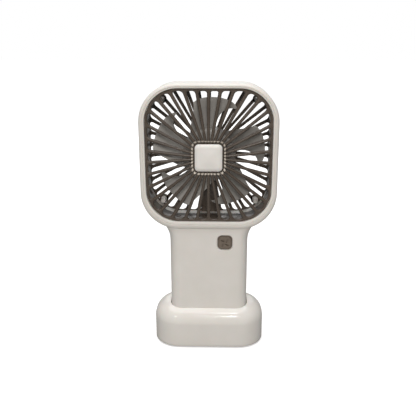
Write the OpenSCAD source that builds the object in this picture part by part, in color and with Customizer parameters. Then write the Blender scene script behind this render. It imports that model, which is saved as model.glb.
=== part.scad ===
// Handheld electric fan with a rounded-square head, a flat handle and a desk dock.
// +Z is up, the fan blows towards -Y, and the origin is the middle of the dock's underside.

/* [Head] */
// Half the width of the head
head_half_w = 42.9; // [42.6:0.1:45]
// Height of the head's lowest edge above the ground
head_bottom = 82.4; // [82:0.1:83]
// Height of the head's top above the ground
head_top = 173.8; // [173:0.1:175]
// Corner radius of the head, seen from the front
head_corner = 24; // [23.5:0.5:26]
// How far the head's front face stands ahead of the casing seam
head_front = 15; // [14.8:0.1:15.5]
// How far the head's rear face stands behind the casing seam
head_rear = 13; // [12.8:0.1:13.5]
// Rounding of the head's front edge
front_edge = 3; // [2.5:0.1:3.2]
// Rounding of the head's rear edge
rear_edge = 6; // [5:0.5:6]
// Half the width of the grille opening
opening_half_w = 39.2; // [38.8:0.1:39.4]
// Half the height of the grille opening
opening_half_h = 41.5; // [41.3:0.1:41.7]
// Corner radius of the grille opening
opening_corner = 20.5; // [20:0.5:21]
// Height of the grille's and the motor's centre
hub_z = 129.3; // [129:0.1:129.6]

/* [Handle] */
// Half the width of the handle
handle_half_w = 25.3; // [25:0.1:25.5]
// Half the thickness of the handle
handle_half_d = 12.5; // [12.3:0.1:12.6]
// Corner radius of the handle, seen from above
handle_corner = 6.8; // [6.5:0.1:7]
// Height of the handle's lower end when it stands in the dock
handle_bottom = 9; // [8.8:0.1:9.5]
// Radius of the fillet between the handle and the head
neck_fillet = 16; // [15:0.5:17]
// Wall thickness of the casing
wall = 1.8; // [1.6:0.1:2]

/* [Grilles] */
// Number of ribs in each grille
rib_count = 34; // [30:2:38]
// Width of a rib beside the hub
rib_inner_w = 1.6; // [1.4:0.1:1.7]
// Width of a rib at the frame
rib_outer_w = 2.2; // [2:0.1:2.4]
// Thickness of the ribs
rib_depth = 1.8; // [1.6:0.1:2]
// Radius of the sphere that the front grille bulges along
dome_radius = 290; // [280:5:320]
// Half the width of the square cap in the middle
cap_half = 8.4; // [8:0.1:8.6]

/* [Impeller] */
// Number of blades
blade_count = 5; // [3:1:6]
// Radius at the blade tips
tip_radius = 35.6; // [34:0.1:36]
// Radius of the impeller's hub
hub_radius = 16.7; // [16.6:0.1:17]
// Distance that a blade covers along the axis
blade_depth = 12; // [10:0.5:12]
// Thickness of a blade
blade_thick = 1.4; // [1.2:0.1:1.6]

/* [Button] */
// Half the width of the power button
button_half_w = 4.6; // [4.4:0.1:4.7]
// Half the height of the power button
button_half_h = 4.7; // [4.5:0.1:4.8]
// Sideways place of the button and the circuit board's middle
button_x = 10.5; // [10:0.1:10.8]
// Height of the button's centre
button_z = 72.9; // [72.5:0.1:73.2]

/* [Dock] */
// Half the width of the dock
dock_half_w = 36.8; // [36.5:0.1:37.5]
// Half the depth of the dock
dock_half_d = 19; // [18.8:0.1:19.5]
// Corner radius of the dock, seen from above
dock_corner = 17.5; // [17:0.5:18]
// Height of the dock's rim
dock_height = 28.5; // [26:0.1:29]
// Rounding of the dock's top edge
dock_edge = 12; // [11:0.5:12]
// Gap between the handle and the dock's socket
socket_gap = 0.35; // [0.3:0.05:0.5]

/* [Hidden] */
$fn = 64;
cut = 0.5;

shell_white = "#f1eeea";
grille_taupe = "#6f665c";
blade_taupe = "#8a8379";
steel = "#b9bcc0";
board_green = "#1f5a3a";

head_mid = (head_top + head_bottom) / 2;
head_half_h = (head_top - head_bottom) / 2;
arc_x = head_half_w - head_corner;
arc_z = head_bottom + head_corner;
neck_x = handle_half_w + neck_fillet;
neck_z = arc_z - sqrt(pow(head_corner + neck_fillet, 2) - pow(neck_x - arc_x, 2));
handle_top = arc_z;

// Step that the grille frames sit on, and the wall of the air duct behind it
ledge = 1;
duct_wall = 1.6;
frame_gap = 0.2;
frame_front = -14.2;
frame_back = -12.2;
rear_plate_front = 9.8;
rear_plate_back = 11.6;
cavity_top = hub_z - opening_half_h - duct_wall - 0.8;

// Screw places, as [x, z]
casing_bosses = [[-17, 80.4], [17, 80.4], [-17, 16.5], [17, 16.5]];
board_bosses = [[3.9, 38], [17.2, 62]];
grille_boss = [30.6, 33.1];
motor_screw_ring = 10.4;

// Circuit board
board_half_w = 9.5;
board_low = 34;
board_high = 76.6;
board_front = -0.7;
board_back = 0.5;
usb_z = 44;

// Battery
cell_x = -12.6;
cell_radius = 9.1;
cell_low = 22;
cell_high = 71.6;

// Motor, along Y
shaft_radius = 1;
shaft_front = -8;
tube_bore = 3;
tube_radius = 4.2;
stator_radius = 12;
stator_half = 3;

// Dock, along Z
foot_height = 1.2;
plate_low = 0.8;
plate_high = 2.8;
weight_high = 6.2;
socket_floor = 8.8;
socket_wall = 1.6;
dock_screw_place = [29, 5];
foot_place = [20, 11.5];
foot_radius = 4;

// Channel for the motor's leads, from the rear grille's disc down to its frame, and its cover
channel_half = 5.5;
channel_wall = 1.3;
channel_front = 6.6;
channel_low = 89;
cover_depth = 0.8;
cover_high = 110.5;

module rounded_rect(half_x, half_y, r) {
    square([2 * (half_x - r), 2 * half_y], center = true);
    square([2 * half_x, 2 * (half_y - r)], center = true);
    for (sx = [-1, 1], sy = [-1, 1])
        translate([sx * (half_x - r), sy * (half_y - r)]) circle(r);
}

// Raises a drawing of X and Z into a solid that runs from y0 to y1
module facing(y0, y1) {
    translate([0, y1, 0]) rotate([90, 0, 0]) linear_extrude(y1 - y0) children();
}

// A cylinder along Y, centred on x and z
module rod(x, z, r, y0, y1) {
    translate([x, y1, z]) rotate([90, 0, 0]) cylinder(r = r, h = y1 - y0);
}

module slab_section(half, edge, height) {
    translate([-half, 0]) square([2 * half, height - edge]);
    translate([edge - half, 0]) square([2 * (half - edge), height]);
    for (s = [-1, 1]) translate([s * (half - edge), height - edge]) circle(edge);
}

// A rounded rectangle raised along Z, with its upper edge rounded as well
module rounded_slab(half_x, half_y, corner, edge, height) {
    run_x = half_x - corner;
    run_y = half_y - corner;
    rotate([90, 0, 90]) linear_extrude(2 * run_x, center = true) slab_section(half_y, edge, height);
    rotate([90, 0, 0]) linear_extrude(2 * run_y, center = true) slab_section(half_x, edge, height);
    for (turn = [0, 1, 2, 3]) {
        sx = (turn == 0 || turn == 3) ? 1 : -1;
        sy = turn < 2 ? 1 : -1;
        translate([sx * run_x, sy * run_y, 0]) rotate([0, 0, 90 * turn])
            rotate_extrude(angle = 90) intersection() {
                square([corner, height]);
                slab_section(corner, edge, height);
            }
    }
}

// The concave fillet beside the neck, cut with the handle's own edge rounding
module neck_cutter() {
    flat = handle_half_d - handle_corner;
    rotate([90, 0, 0]) rotate_extrude() {
        translate([0, -handle_half_d - 1]) square([neck_fillet, 2 * handle_half_d + 2]);
        for (s = [-1, 1]) difference() {
            translate([neck_fillet - cut, s > 0 ? flat : -handle_half_d - 1])
                square([handle_corner + cut, handle_corner + 1]);
            translate([neck_fillet + handle_corner, s * flat]) circle(handle_corner);
        }
    }
}

module neck_side(side) {
    inner = handle_half_w - handle_corner - 3;
    difference() {
        translate([side > 0 ? inner : -inner - 17, -handle_half_d, neck_z])
            cube([17, 2 * handle_half_d, 17]);
        translate([side * neck_x, 0, neck_z]) neck_cutter();
    }
}

// Outside of the casing, with both halves together
module casing_solid() {
    translate([0, 0, head_mid]) {
        rotate([90, 0, 0]) rounded_slab(head_half_w, head_half_h, head_corner, front_edge, head_front);
        rotate([-90, 0, 0]) rounded_slab(head_half_w, head_half_h, head_corner, rear_edge, head_rear);
    }
    translate([0, 0, handle_top]) mirror([0, 0, 1])
        rounded_slab(handle_half_w, handle_half_d, handle_corner, 2, handle_top - handle_bottom);
    neck_side(1);
    neck_side(-1);
}

// The hollow of the handle, up to the underside of the air duct
module handle_hollow() {
    translate([0, 0, handle_bottom + wall]) linear_extrude(cavity_top - handle_bottom - wall)
        rounded_rect(handle_half_w - wall, handle_half_d - wall, handle_corner - wall);
}

module opening_outline(inset) {
    translate([0, hub_z])
        rounded_rect(opening_half_w - inset, opening_half_h - inset, opening_corner - inset);
}

module head_outline(inset) {
    translate([0, head_mid])
        rounded_rect(head_half_w - inset, head_half_h - inset, head_corner - inset);
}

// The gap between the head's outer wall and the duct wall
module ring_hollow(y0, y1) {
    facing(y0, y1) difference() {
        head_outline(wall);
        opening_outline(-duct_wall);
    }
}

module dock_shell() {
    color(shell_white) difference() {
        rounded_slab_at(plate_low, dock_half_w, dock_half_d, dock_corner, dock_edge);
        dock_hollow();
        translate([0, 0, socket_floor]) linear_extrude(dock_height)
            rounded_rect(handle_half_w + socket_gap, handle_half_d + socket_gap,
                         handle_corner + socket_gap);
        for (sx = [-1, 1], sy = [-1, 1]) translate([sx * dock_screw_place[0], sy * dock_screw_place[1], 0])
            cylinder(r = 0.95, h = 12);
    }
}

module rounded_slab_at(z0, half_x, half_y, corner, edge) {
    translate([0, 0, z0]) rounded_slab(half_x, half_y, corner, edge, dock_height - z0);
}

// Space under the dock's top and around its socket, open below, less the screw bosses
module dock_hollow() {
    skin = 2;
    difference() {
        union() {
            translate([0, 0, plate_low - 1]) linear_extrude(plate_high + 1 - plate_low)
                rounded_rect(dock_half_w - 1.2, dock_half_d - 1.2, dock_corner - 1.2);
            translate([0, 0, plate_low]) rounded_slab(dock_half_w - skin, dock_half_d - skin,
                dock_corner - skin, dock_edge - skin, dock_height - skin - plate_low);
        }
        translate([0, 0, socket_floor - socket_wall]) linear_extrude(dock_height)
            rounded_rect(handle_half_w + socket_gap + socket_wall, handle_half_d + socket_gap + socket_wall,
                         handle_corner + socket_gap + socket_wall);
        for (sx = [-1, 1], sy = [-1, 1])
            translate([sx * dock_screw_place[0], sy * dock_screw_place[1], plate_high])
                cylinder(r = 2.6, h = dock_height - plate_high);
    }
}

module dock_base_plate() {
    color(shell_white) difference() {
        translate([0, 0, plate_low]) linear_extrude(plate_high - plate_low)
            rounded_rect(dock_half_w - 1.4, dock_half_d - 1.4, dock_corner - 1.4);
        for (sx = [-1, 1], sy = [-1, 1]) {
            translate([sx * dock_screw_place[0], sy * dock_screw_place[1], 0]) cylinder(r = 1.2, h = 5);
            translate([sx * dock_screw_place[0], sy * dock_screw_place[1], 0])
                cylinder(r = 2.3, h = plate_low + 1.1);
            translate([sx * foot_place[0], sy * foot_place[1], 0])
                cylinder(r = foot_radius + 0.1, h = foot_height);
        }
    }
}

module dock_weight() {
    color(steel) translate([0, 0, plate_high]) linear_extrude(weight_high - plate_high)
        rounded_rect(24, 13, 3);
}

module dock_feet() {
    color("#5b5751") for (sx = [-1, 1], sy = [-1, 1])
        translate([sx * foot_place[0], sy * foot_place[1], 0]) cylinder(r = foot_radius, h = foot_height);
}

// A pan-head screw along +Z with a cross recess, its head's underside at z = 0
module screw(shank_r, shank, head_r, head_h) {
    difference() {
        union() {
            translate([0, 0, -shank]) cylinder(r = shank_r, h = shank);
            cylinder(r = head_r, h = head_h);
        }
        for (turn = [0, 90]) rotate([0, 0, turn])
            translate([-0.6 * head_r, -0.2, 0.5 * head_h]) cube([1.2 * head_r, 0.4, head_h]);
    }
}

module dock_screws() {
    color(steel) for (sx = [-1, 1], sy = [-1, 1])
        translate([sx * dock_screw_place[0], sy * dock_screw_place[1], plate_low + 1.1])
            mirror([0, 0, 1]) screw(0.9, 8, 2.1, 1);
}

module casing_boss(place, y0, y1, r) {
    rod(place[0], place[1], r, y0, y1);
}

module front_shell() {
    color(shell_white) difference() {
        intersection() {
            union() {
                difference() {
                    casing_solid();
                    handle_hollow();
                    ring_hollow(wall - head_front, cut);
                }
                for (place = casing_bosses) casing_boss(place, wall - handle_half_d - cut, 0, 2.8);
                for (place = board_bosses)
                    casing_boss(place, wall - handle_half_d - cut, board_front, 2);
            }
            translate([-60, -30, 0]) cube([120, 30, 200]);
        }
        facing(-head_front - 1, frame_back) opening_outline(0);
        facing(frame_back - cut, cut) opening_outline(ledge);
        for (place = casing_bosses) rod(place[0], place[1], 1.02, -8, cut);
        for (place = board_bosses) rod(place[0], place[1], 0.85, -6, 0);
        translate([button_x, 0, button_z]) facing(-handle_half_d - 1, -8)
            rounded_rect(button_half_w + 0.25, button_half_h + 0.25, 2.95);
    }
}

module rear_shell() {
    color(shell_white) difference() {
        intersection() {
            union() {
                difference() {
                    casing_solid();
                    handle_hollow();
                    ring_hollow(-cut, head_rear - wall);
                }
                for (place = casing_bosses) casing_boss(place, 0, handle_half_d - cut, 3);
                for (low = [30, 62]) cell_rib(low);
                for (sx = [-1, 1], sz = [-1, 1]) grille_post(sx, sz);
            }
            translate([-60, 0, 0]) cube([120, 30, 200]);
        }
        facing(-cut, rear_plate_front + cut) difference() {
            opening_outline(ledge);
            for (sx = [-1, 1], sz = [-1, 1]) post_outline(sx, sz);
        }
        facing(rear_plate_front, head_rear + 1) opening_outline(0);
        for (sx = [-1, 1], sz = [-1, 1])
            rod(sx * grille_boss[0], hub_z + sz * grille_boss[1], 0.82, 4, rear_plate_front + cut);
        for (place = casing_bosses) {
            rod(place[0], place[1], 1.2, -cut, handle_half_d);
            rod(place[0], place[1], 2.4, 8.2, head_rear + 1);
        }
        translate([channel_wall - channel_half, channel_front, cavity_top - 1])
            cube([2 * (channel_half - channel_wall), rear_plate_front - channel_front, 6]);
        translate([button_x, 0, usb_z]) facing(handle_half_d - wall - 1, handle_half_d + 1)
            rounded_rect(4.75, 1.9, 1.85);
    }
}

// A rib across the rear shell that the battery lies in
module cell_rib(low) {
    difference() {
        translate([wall - handle_half_w - cut, 2, low])
            cube([21.6, handle_half_d - wall - 1.6, 1.4]);
        translate([cell_x, 0, low - 1]) cylinder(r = cell_radius + 0.15, h = 4);
    }
}

module post_outline(sx, sz) {
    translate([sx * grille_boss[0], hub_z + sz * grille_boss[1]]) circle(2.6);
}

module grille_post(sx, sz) {
    facing(3, rear_plate_front) post_outline(sx, sz);
}

module casing_screws() {
    color(steel) for (place = casing_bosses)
        translate([place[0], 8.2, place[1]]) rotate([-90, 0, 0]) screw(1, 15, 2.1, 1.5);
}

// Direction of rib number k, a little closer together above and below the hub
function rib_angle(k) = atan2(sin(360 * k / rib_count), 1.045 * cos(360 * k / rib_count))
    + (k > rib_count / 2 ? 360 : 0);

// A point on one edge of rib k at distance r from the hub
function rib_point(k, r, side) =
    let (a = rib_angle(k), w = rib_inner_w + (rib_outer_w - rib_inner_w) * (r - 10) / 35)
    [r * sin(a) + side * w / 2 * cos(a), r * cos(a) - side * w / 2 * sin(a)];

// The slots between the ribs, from near the hub to the grille's frame
module slot_outlines(inner_r, frame_w) {
    intersection() {
        opening_outline(frame_w + frame_gap);
        translate([0, hub_z]) for (k = [0 : rib_count - 1])
            polygon([rib_point(k, inner_r, 1), rib_point(k, 60, 1),
                     rib_point(k + 1, 60, -1), rib_point(k + 1, inner_r, -1)]);
    }
}

module front_grille() {
    apex = -16.4;
    frame_w = 1.5;
    skirt_back = -10.6;
    color(grille_taupe) difference() {
        union() {
            intersection() {
                facing(-20, skirt_back) difference() {
                    opening_outline(ledge + 0.1);
                    slot_outlines(11.8, frame_w);
                }
                translate([0, apex + dome_radius, hub_z]) difference() {
                    sphere(dome_radius, $fn = 400);
                    sphere(dome_radius - rib_depth, $fn = 400);
                }
            }
            facing(frame_front, frame_back) difference() {
                opening_outline(frame_gap);
                opening_outline(frame_gap + frame_w);
            }
            facing(frame_back - cut, skirt_back) difference() {
                opening_outline(ledge + 0.1);
                opening_outline(frame_gap + frame_w);
            }
            translate([0, 0, hub_z]) facing(apex - 0.1, -13.6) rounded_rect(10.2, 10.2, 3);
            for (turn = [0, 90, 180, 270]) translate([0, 0, hub_z]) rotate([0, turn, 0])
                translate([-3, frame_back - 3.4, (turn % 180 == 0 ? opening_half_h : opening_half_w) - 2.3])
                    cube([6, 4, 1]);
        }
        translate([0, 0, hub_z]) facing(-20, -15.6) rounded_rect(cap_half + 0.1, cap_half + 0.1, 2.1);
        for (sx = [-1, 1], sz = [-1, 1]) rod(5 * sx, hub_z + 5 * sz, 1, -20, -10);
    }
}

module centre_cap() {
    color(shell_white) {
        translate([0, -15.6, hub_z]) rotate([90, 0, 0]) rounded_slab(cap_half, cap_half, 2, 1, 2.1);
        for (sx = [-1, 1], sz = [-1, 1]) rod(5 * sx, hub_z + 5 * sz, 0.9, -15.7, -12.8);
    }
}

module rear_grille() {
    color(grille_taupe) difference() {
        union() {
            facing(rear_plate_front, rear_plate_back) {
                difference() {
                    opening_outline(frame_gap);
                    slot_outlines(16, 0.95);
                }
                intersection() {
                    opening_outline(frame_gap);
                    union() {
                        translate([-channel_half, hub_z - 45]) square([2 * channel_half, 32]);
                        for (sx = [-1, 1], sz = [-1, 1])
                            translate([sx * grille_boss[0], hub_z + sz * grille_boss[1]]) circle(3);
                    }
                }
            }
            for (left = [-channel_half, channel_half - channel_wall])
                translate([left, channel_front, channel_low])
                    cube([channel_wall, rear_plate_front - channel_front + 0.1, 25]);
            translate([-channel_half, channel_front, channel_low])
                cube([2 * channel_half, cover_depth, cover_high - channel_low]);
        }
        for (sx = [-1, 1], sz = [-1, 1])
            rod(sx * grille_boss[0], hub_z + sz * grille_boss[1], 1, 5, 20);
        for (turn = [60, 180, 300])
            rod(motor_screw_ring * sin(turn), hub_z - motor_screw_ring * cos(turn), 1, 5, 20);
    }
}

module rear_grille_screws() {
    color(steel) for (sx = [-1, 1], sz = [-1, 1])
        translate([sx * grille_boss[0], rear_plate_back, hub_z + sz * grille_boss[1]])
            rotate([-90, 0, 0]) screw(0.8, 7, 1.8, 1.1);
}

module motor_base() {
    color("#d8d4cc") difference() {
        union() {
            rod(0, hub_z, 13.4, 7.8, rear_plate_front);
            rod(0, hub_z, tube_radius, -4, 8);
        }
        rod(0, hub_z, tube_bore, -5, 8.6);
        for (turn = [60, 180, 300])
            rod(motor_screw_ring * sin(turn), hub_z - motor_screw_ring * cos(turn), 0.82, 7, 12);
    }
}

module motor_screws() {
    color(steel) for (turn = [60, 180, 300])
        translate([motor_screw_ring * sin(turn), rear_plate_back,
                   hub_z - motor_screw_ring * cos(turn)])
            rotate([-90, 0, 0]) screw(0.8, 3.6, 1.6, 1);
}

// Six toothed laminations stacked on the bearing tube
module stator_core() {
    color("#6d7074") translate([0, 0, hub_z]) facing(-stator_half, stator_half) difference() {
        union() {
            circle(6.2);
            for (turn = [0 : 60 : 300]) rotate(turn) translate([-1.3, 5]) square([2.6, 6.2]);
            difference() {
                circle(stator_radius);
                circle(10.6);
                for (turn = [30 : 60 : 330]) rotate(turn) translate([-0.8, 8]) square([1.6, 6]);
            }
        }
        circle(tube_radius);
    }
}

module stator_coils() {
    color("#b0622b") for (turn = [0 : 60 : 300]) translate([0, 0, hub_z]) rotate([0, turn, 0])
        translate([0, 0, 8.3]) difference() {
            cube([5.2, 2 * stator_half + 3.2, 3.8], center = true);
            cube([2.64, 2 * stator_half + 0.04, 6], center = true);
        }
}

module motor_board() {
    color(board_green) translate([0, 0, hub_z]) facing(6.2, 7.2) difference() {
        circle(13);
        circle(tube_radius + 0.1);
    }
}

module bearing(y0) {
    color("#a8793f") difference() {
        rod(0, hub_z, tube_bore, y0, y0 + 3);
        rod(0, hub_z, shaft_radius + 0.03, y0 - 1, y0 + 4);
    }
}

module front_bearing() { bearing(-3.9); }

module rear_bearing() { bearing(3.6); }

// A point and its direction along a smooth run through the route's points
function run_point(route, t) =
    let (n = len(route), i = min(floor(t), n - 2), u = t - i,
         a = route[max(i - 1, 0)], b = route[i], c = route[i + 1], d = route[min(i + 2, n - 1)])
    0.5 * (2 * b + (c - a) * u + (2 * a - 5 * b + 4 * c - d) * u * u
           + (3 * b - a - 3 * c + d) * u * u * u);

function unit(v) = v / norm(v);

// A round lead along a route, as rings of points joined by four-sided faces
module lead(route, r, rings, sides = 8) {
    last = len(route) - 1;
    mids = [for (i = [0 : rings - 1]) run_point(route, last * i / (rings - 1))];
    points = [for (i = [0 : rings - 1])
        let (ahead = unit(mids[min(i + 1, rings - 1)] - mids[max(i - 1, 0)]),
             across = unit(cross(ahead, [0.31, 0.9, 0.12])), over = cross(ahead, across))
        for (j = [0 : sides - 1])
            mids[i] + r * (cos(360 * j / sides) * across + sin(360 * j / sides) * over)];
    faces = concat([[for (j = [0 : sides - 1]) sides - 1 - j]],
        [for (i = [0 : rings - 2], j = [0 : sides - 1])
            [i * sides + j, i * sides + (j + 1) % sides,
             (i + 1) * sides + (j + 1) % sides, (i + 1) * sides + j]],
        [[for (j = [0 : sides - 1]) (rings - 1) * sides + j]]);
    polyhedron(points, [for (f = faces) [for (k = [len(f) - 1 : -1 : 0]) f[k]]]);
}

function motor_route(x) = [[x, 6.7, 115.6], [x, 7.4, 114.2], [x, 8.4, 111], [x, 8.6, 104],
    [x, 8.6, 96], [x, 8.4, 90], [x, 8.3, 86], [x, 7.4, 82], [1.5 * x + 4, 4.4, 79.5],
    [1.5 * x + 6, 2, 77.4], [1.5 * x + 6, 1.2, 75], [1.5 * x + 6, 1.1, 72]];
plus_route = [[-12.6, 0, 72.6], [-12.6, 0, 74.2], [-11, 0.4, 75.6], [-8, 0.8, 76],
    [-4, 1.2, 75.6], [-1, 1.3, 73.4], [1.5, 1.3, 70.6], [3, 1.3, 67]];
minus_route = [[-12.6, 0, 21], [-12, 0.4, 19.6], [-9, 0.8, 18.6], [-5, 1, 18.8],
    [-2, 1.2, 21.5], [-0.8, 1.3, 26], [-0.6, 1.3, 34], [0.4, 1.3, 42], [3, 1.3, 46]];

module motor_leads() {
    for (x = [-2, 0, 2]) color(x == 0 ? "white" : x < 0 ? "black" : "red")
        lead(motor_route(x), 0.5, 26);
}

module battery_leads() {
    color("red") lead(plus_route, 0.6, 20);
    color("black") lead(minus_route, 0.6, 22);
}

module battery_cell() {
    color("#3d7fae") translate([cell_x, 0, cell_low]) cylinder(r = cell_radius, h = cell_high - cell_low);
}

module battery_tabs() {
    color(steel) for (z = [cell_low - 0.3, cell_high])
        translate([cell_x - 3, -2.5, z]) cube([6, 5, 0.3]);
}

module battery_pads() {
    color("#4a4a4a") for (y = [0.05 + wall - handle_half_d, cell_radius + 0.1])
        translate([cell_x - 5, y, 40]) cube([10, 1.4, 14]);
}

module main_board() {
    color(board_green) difference() {
        translate([button_x - board_half_w, board_front, board_low])
            cube([2 * board_half_w, board_back - board_front, board_high - board_low]);
        for (place = board_bosses) rod(place[0], place[1], 1, -5, 5);
    }
}

// Charging chip, motor driver, inductor and two capacitors on the rear of the board
module board_components() {
    color("#2b2b2e") {
        translate([8, board_back, 52]) cube([4, 1.2, 4]);
        translate([8.6, board_back, 60]) cube([3.4, 1, 3]);
        translate([15, board_back, 51.5]) cube([4.4, 2.4, 4.4]);
        for (z = [57.5, 68]) translate([12.6, board_back, z]) cube([1.6, 0.9, 0.9]);
    }
}

module board_screws() {
    color(steel) for (place = board_bosses)
        translate([place[0], board_back, place[1]]) rotate([-90, 0, 0]) screw(0.8, 5.5, 1.6, 1);
}

module power_switch() {
    color("#3a3a3c") difference() {
        translate([button_x - 3, -4.1, button_z - 3]) cube([6, 4.1 + board_front, 6]);
        rod(button_x, button_z, 1.75, -5, -2.4);
    }
}

module usb_shell() {
    color(steel) translate([button_x, 0, usb_z]) difference() {
        facing(board_back, 11.9) rounded_rect(4.47, 1.63, 1.6);
        facing(2.5, 13) rounded_rect(4.17, 1.33, 1.3);
    }
}

module usb_tongue() {
    color("#1c1c1e") translate([button_x - 3.3, 2.5, usb_z - 0.35]) cube([6.6, 8.2, 0.7]);
}

// Edge directions of a blade, clockwise from straight up as seen from the front
function blade_start(t) = -46 + 30 * (1 - (1 - t) * (1 - t));
function blade_end(t) = 15 - 12.6 * t + 31.4 * t * t;

// A point on a blade's front or rear skin, at t of the way out and s of the way across
function blade_point(t, s, side) =
    let (r = hub_radius - 1 + t * (tip_radius - hub_radius + 1),
         a = blade_start(t) + s * (blade_end(t) - blade_start(t)),
         bow = 1.6 * sin(180 * s),
         y = 2.5 - blade_depth * (1 - s) + bow + side * blade_thick / 2 * (0.35 + 0.65 * sin(180 * s)))
    [r * sin(a), y, r * cos(a)];

module blade(steps_out = 8, steps_across = 8) {
    no = steps_out + 1;
    nc = steps_across + 1;
    points = [for (side = [-1, 1], i = [0 : steps_out], j = [0 : steps_across])
        blade_point(i / steps_out, j / steps_across, side)];
    front = [for (i = [0 : steps_out - 1], j = [0 : steps_across - 1])
        let (a = i * nc + j) each [[a, a + 1, a + nc], [a + 1, a + nc + 1, a + nc]]];
    rear = [for (f = front) [f[0] + no * nc, f[2] + no * nc, f[1] + no * nc]];
    rim = concat([for (j = [0 : steps_across - 1]) j],
        [for (i = [0 : steps_out - 1]) i * nc + steps_across],
        [for (j = [steps_across : -1 : 1]) steps_out * nc + j],
        [for (i = [steps_out : -1 : 1]) i * nc]);
    sides = [for (k = [0 : len(rim) - 1])
        let (a = rim[k], b = rim[(k + 1) % len(rim)]) each
            [[a, a + no * nc, b], [b, a + no * nc, b + no * nc]]];
    polyhedron(points, [for (f = concat(front, rear, sides)) [f[0], f[2], f[1]]]);
}

module impeller() {
    color(blade_taupe) translate([0, 0, hub_z]) {
        difference() {
            union() {
                rotate([90, 0, 0]) rotate_extrude() {
                    translate([0, -4.6]) square([hub_radius, 11.6]);
                    square([hub_radius - 2, 9]);
                    translate([hub_radius - 2, 7]) circle(2);
                }
                for (k = [0 : blade_count - 1]) rotate([0, 360 * k / blade_count, 0]) blade();
            }
            rod(0, 0, 15.1, -7.2, 6);
            rod(0, 0, shaft_radius, shaft_front, 0);
        }
        difference() {
            rod(0, 0, 3.2, -7.3, -4.6);
            rod(0, 0, shaft_radius, shaft_front, 0);
        }
    }
}

module rotor_yoke() {
    color(steel) difference() {
        rod(0, hub_z, 15.1, -7.2, 4.4);
        rod(0, hub_z, 14.3, -6.4, 5);
        rod(0, hub_z, 3.2, -8, 0);
    }
}

module magnet_ring() {
    color("#3c3c3f") difference() {
        rod(0, hub_z, 14.3, -4, 4.2);
        rod(0, hub_z, 12.4, -5, 5);
    }
}

module motor_shaft() {
    color(steel) rod(0, hub_z, shaft_radius, shaft_front, 8.2);
}

module shaft_clip() {
    color("#444448") difference() {
        rod(0, hub_z, 2.2, 7.1, 7.6);
        rod(0, hub_z, shaft_radius, 7, 8);
    }
}

module power_button() {
    color(grille_taupe) translate([button_x, 0, button_z]) {
        difference() {
            translate([0, -9.6, 0]) rotate([90, 0, 0])
                rounded_slab(button_half_w, button_half_h, 2.7, 0.6, 3.3);
            for (turn = [0, 90, 180, 270]) rotate([0, turn, 0]) facing(-14, -12.7)
                translate([1.35, 1.35]) circle(0.9);
        }
        facing(-10.4, -9.6) rounded_rect(button_half_w + 0.7, button_half_h + 0.7, 3.2);
        rod(0, 0, 1.6, -9.7, -5.8);
    }
}

module switch_plunger() {
    color("#22262b") rod(button_x, button_z, 1.6, -5.8, -3.2);
}

dock_shell();
dock_base_plate();
dock_weight();
dock_feet();
dock_screws();
front_shell();
rear_shell();
casing_screws();
front_grille();
centre_cap();
rear_grille();
rear_grille_screws();
motor_base();
motor_screws();
stator_core();
stator_coils();
motor_board();
front_bearing();
rear_bearing();
motor_leads();
battery_cell();
battery_tabs();
battery_pads();
battery_leads();
main_board();
board_components();
board_screws();
power_switch();
usb_shell();
usb_tongue();
impeller();
rotor_yoke();
magnet_ring();
motor_shaft();
shaft_clip();
power_button();
switch_plunger();
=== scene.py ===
import math
import bmesh
import bpy
import numpy as np
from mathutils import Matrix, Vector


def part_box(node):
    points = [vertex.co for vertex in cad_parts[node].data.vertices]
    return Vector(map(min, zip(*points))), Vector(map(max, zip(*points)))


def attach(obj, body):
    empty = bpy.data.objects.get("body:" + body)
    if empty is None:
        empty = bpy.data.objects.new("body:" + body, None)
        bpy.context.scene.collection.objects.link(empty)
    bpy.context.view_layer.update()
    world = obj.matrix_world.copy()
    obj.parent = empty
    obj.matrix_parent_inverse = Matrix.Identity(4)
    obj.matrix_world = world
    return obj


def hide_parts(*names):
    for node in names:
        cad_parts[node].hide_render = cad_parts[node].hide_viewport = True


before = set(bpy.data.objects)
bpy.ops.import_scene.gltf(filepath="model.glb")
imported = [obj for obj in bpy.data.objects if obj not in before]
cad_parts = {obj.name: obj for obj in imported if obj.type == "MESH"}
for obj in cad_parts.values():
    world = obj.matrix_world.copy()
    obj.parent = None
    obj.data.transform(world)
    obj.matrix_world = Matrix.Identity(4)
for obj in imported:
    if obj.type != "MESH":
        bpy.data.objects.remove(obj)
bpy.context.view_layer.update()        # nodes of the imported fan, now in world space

mm = 0.001
print("frame loaded:", len(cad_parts), "nodes")


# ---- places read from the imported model, in millimetres ----
def nodeBox(name):
    low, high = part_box(name)
    return np.array(low) / mm, np.array(high) / mm


frontLow, frontHigh = nodeBox("front_shell")
rearLow, rearHigh = nodeBox("rear_shell")
grilleLow, grilleHigh = nodeBox("front_grille")
rearGrilleLow, rearGrilleHigh = nodeBox("rear_grille")
capLow, capHigh = nodeBox("centre_cap")
rotorLow, rotorHigh = nodeBox("magnet_ring")
impellerLow, impellerHigh = nodeBox("impeller")
buttonLow, buttonHigh = nodeBox("power_button")
dockLow, dockHigh = nodeBox("dock_shell")
plateLow, plateHigh = nodeBox("dock_base_plate")
feetLow, feetHigh = nodeBox("dock_feet")
usbLow, usbHigh = nodeBox("usb_shell")
caseScrewLow, caseScrewHigh = nodeBox("casing_screws")
grilleScrewLow, grilleScrewHigh = nodeBox("rear_grille_screws")
hubX, hubZ = 0.0, (rotorLow[2] + rotorHigh[2]) / 2

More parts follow.
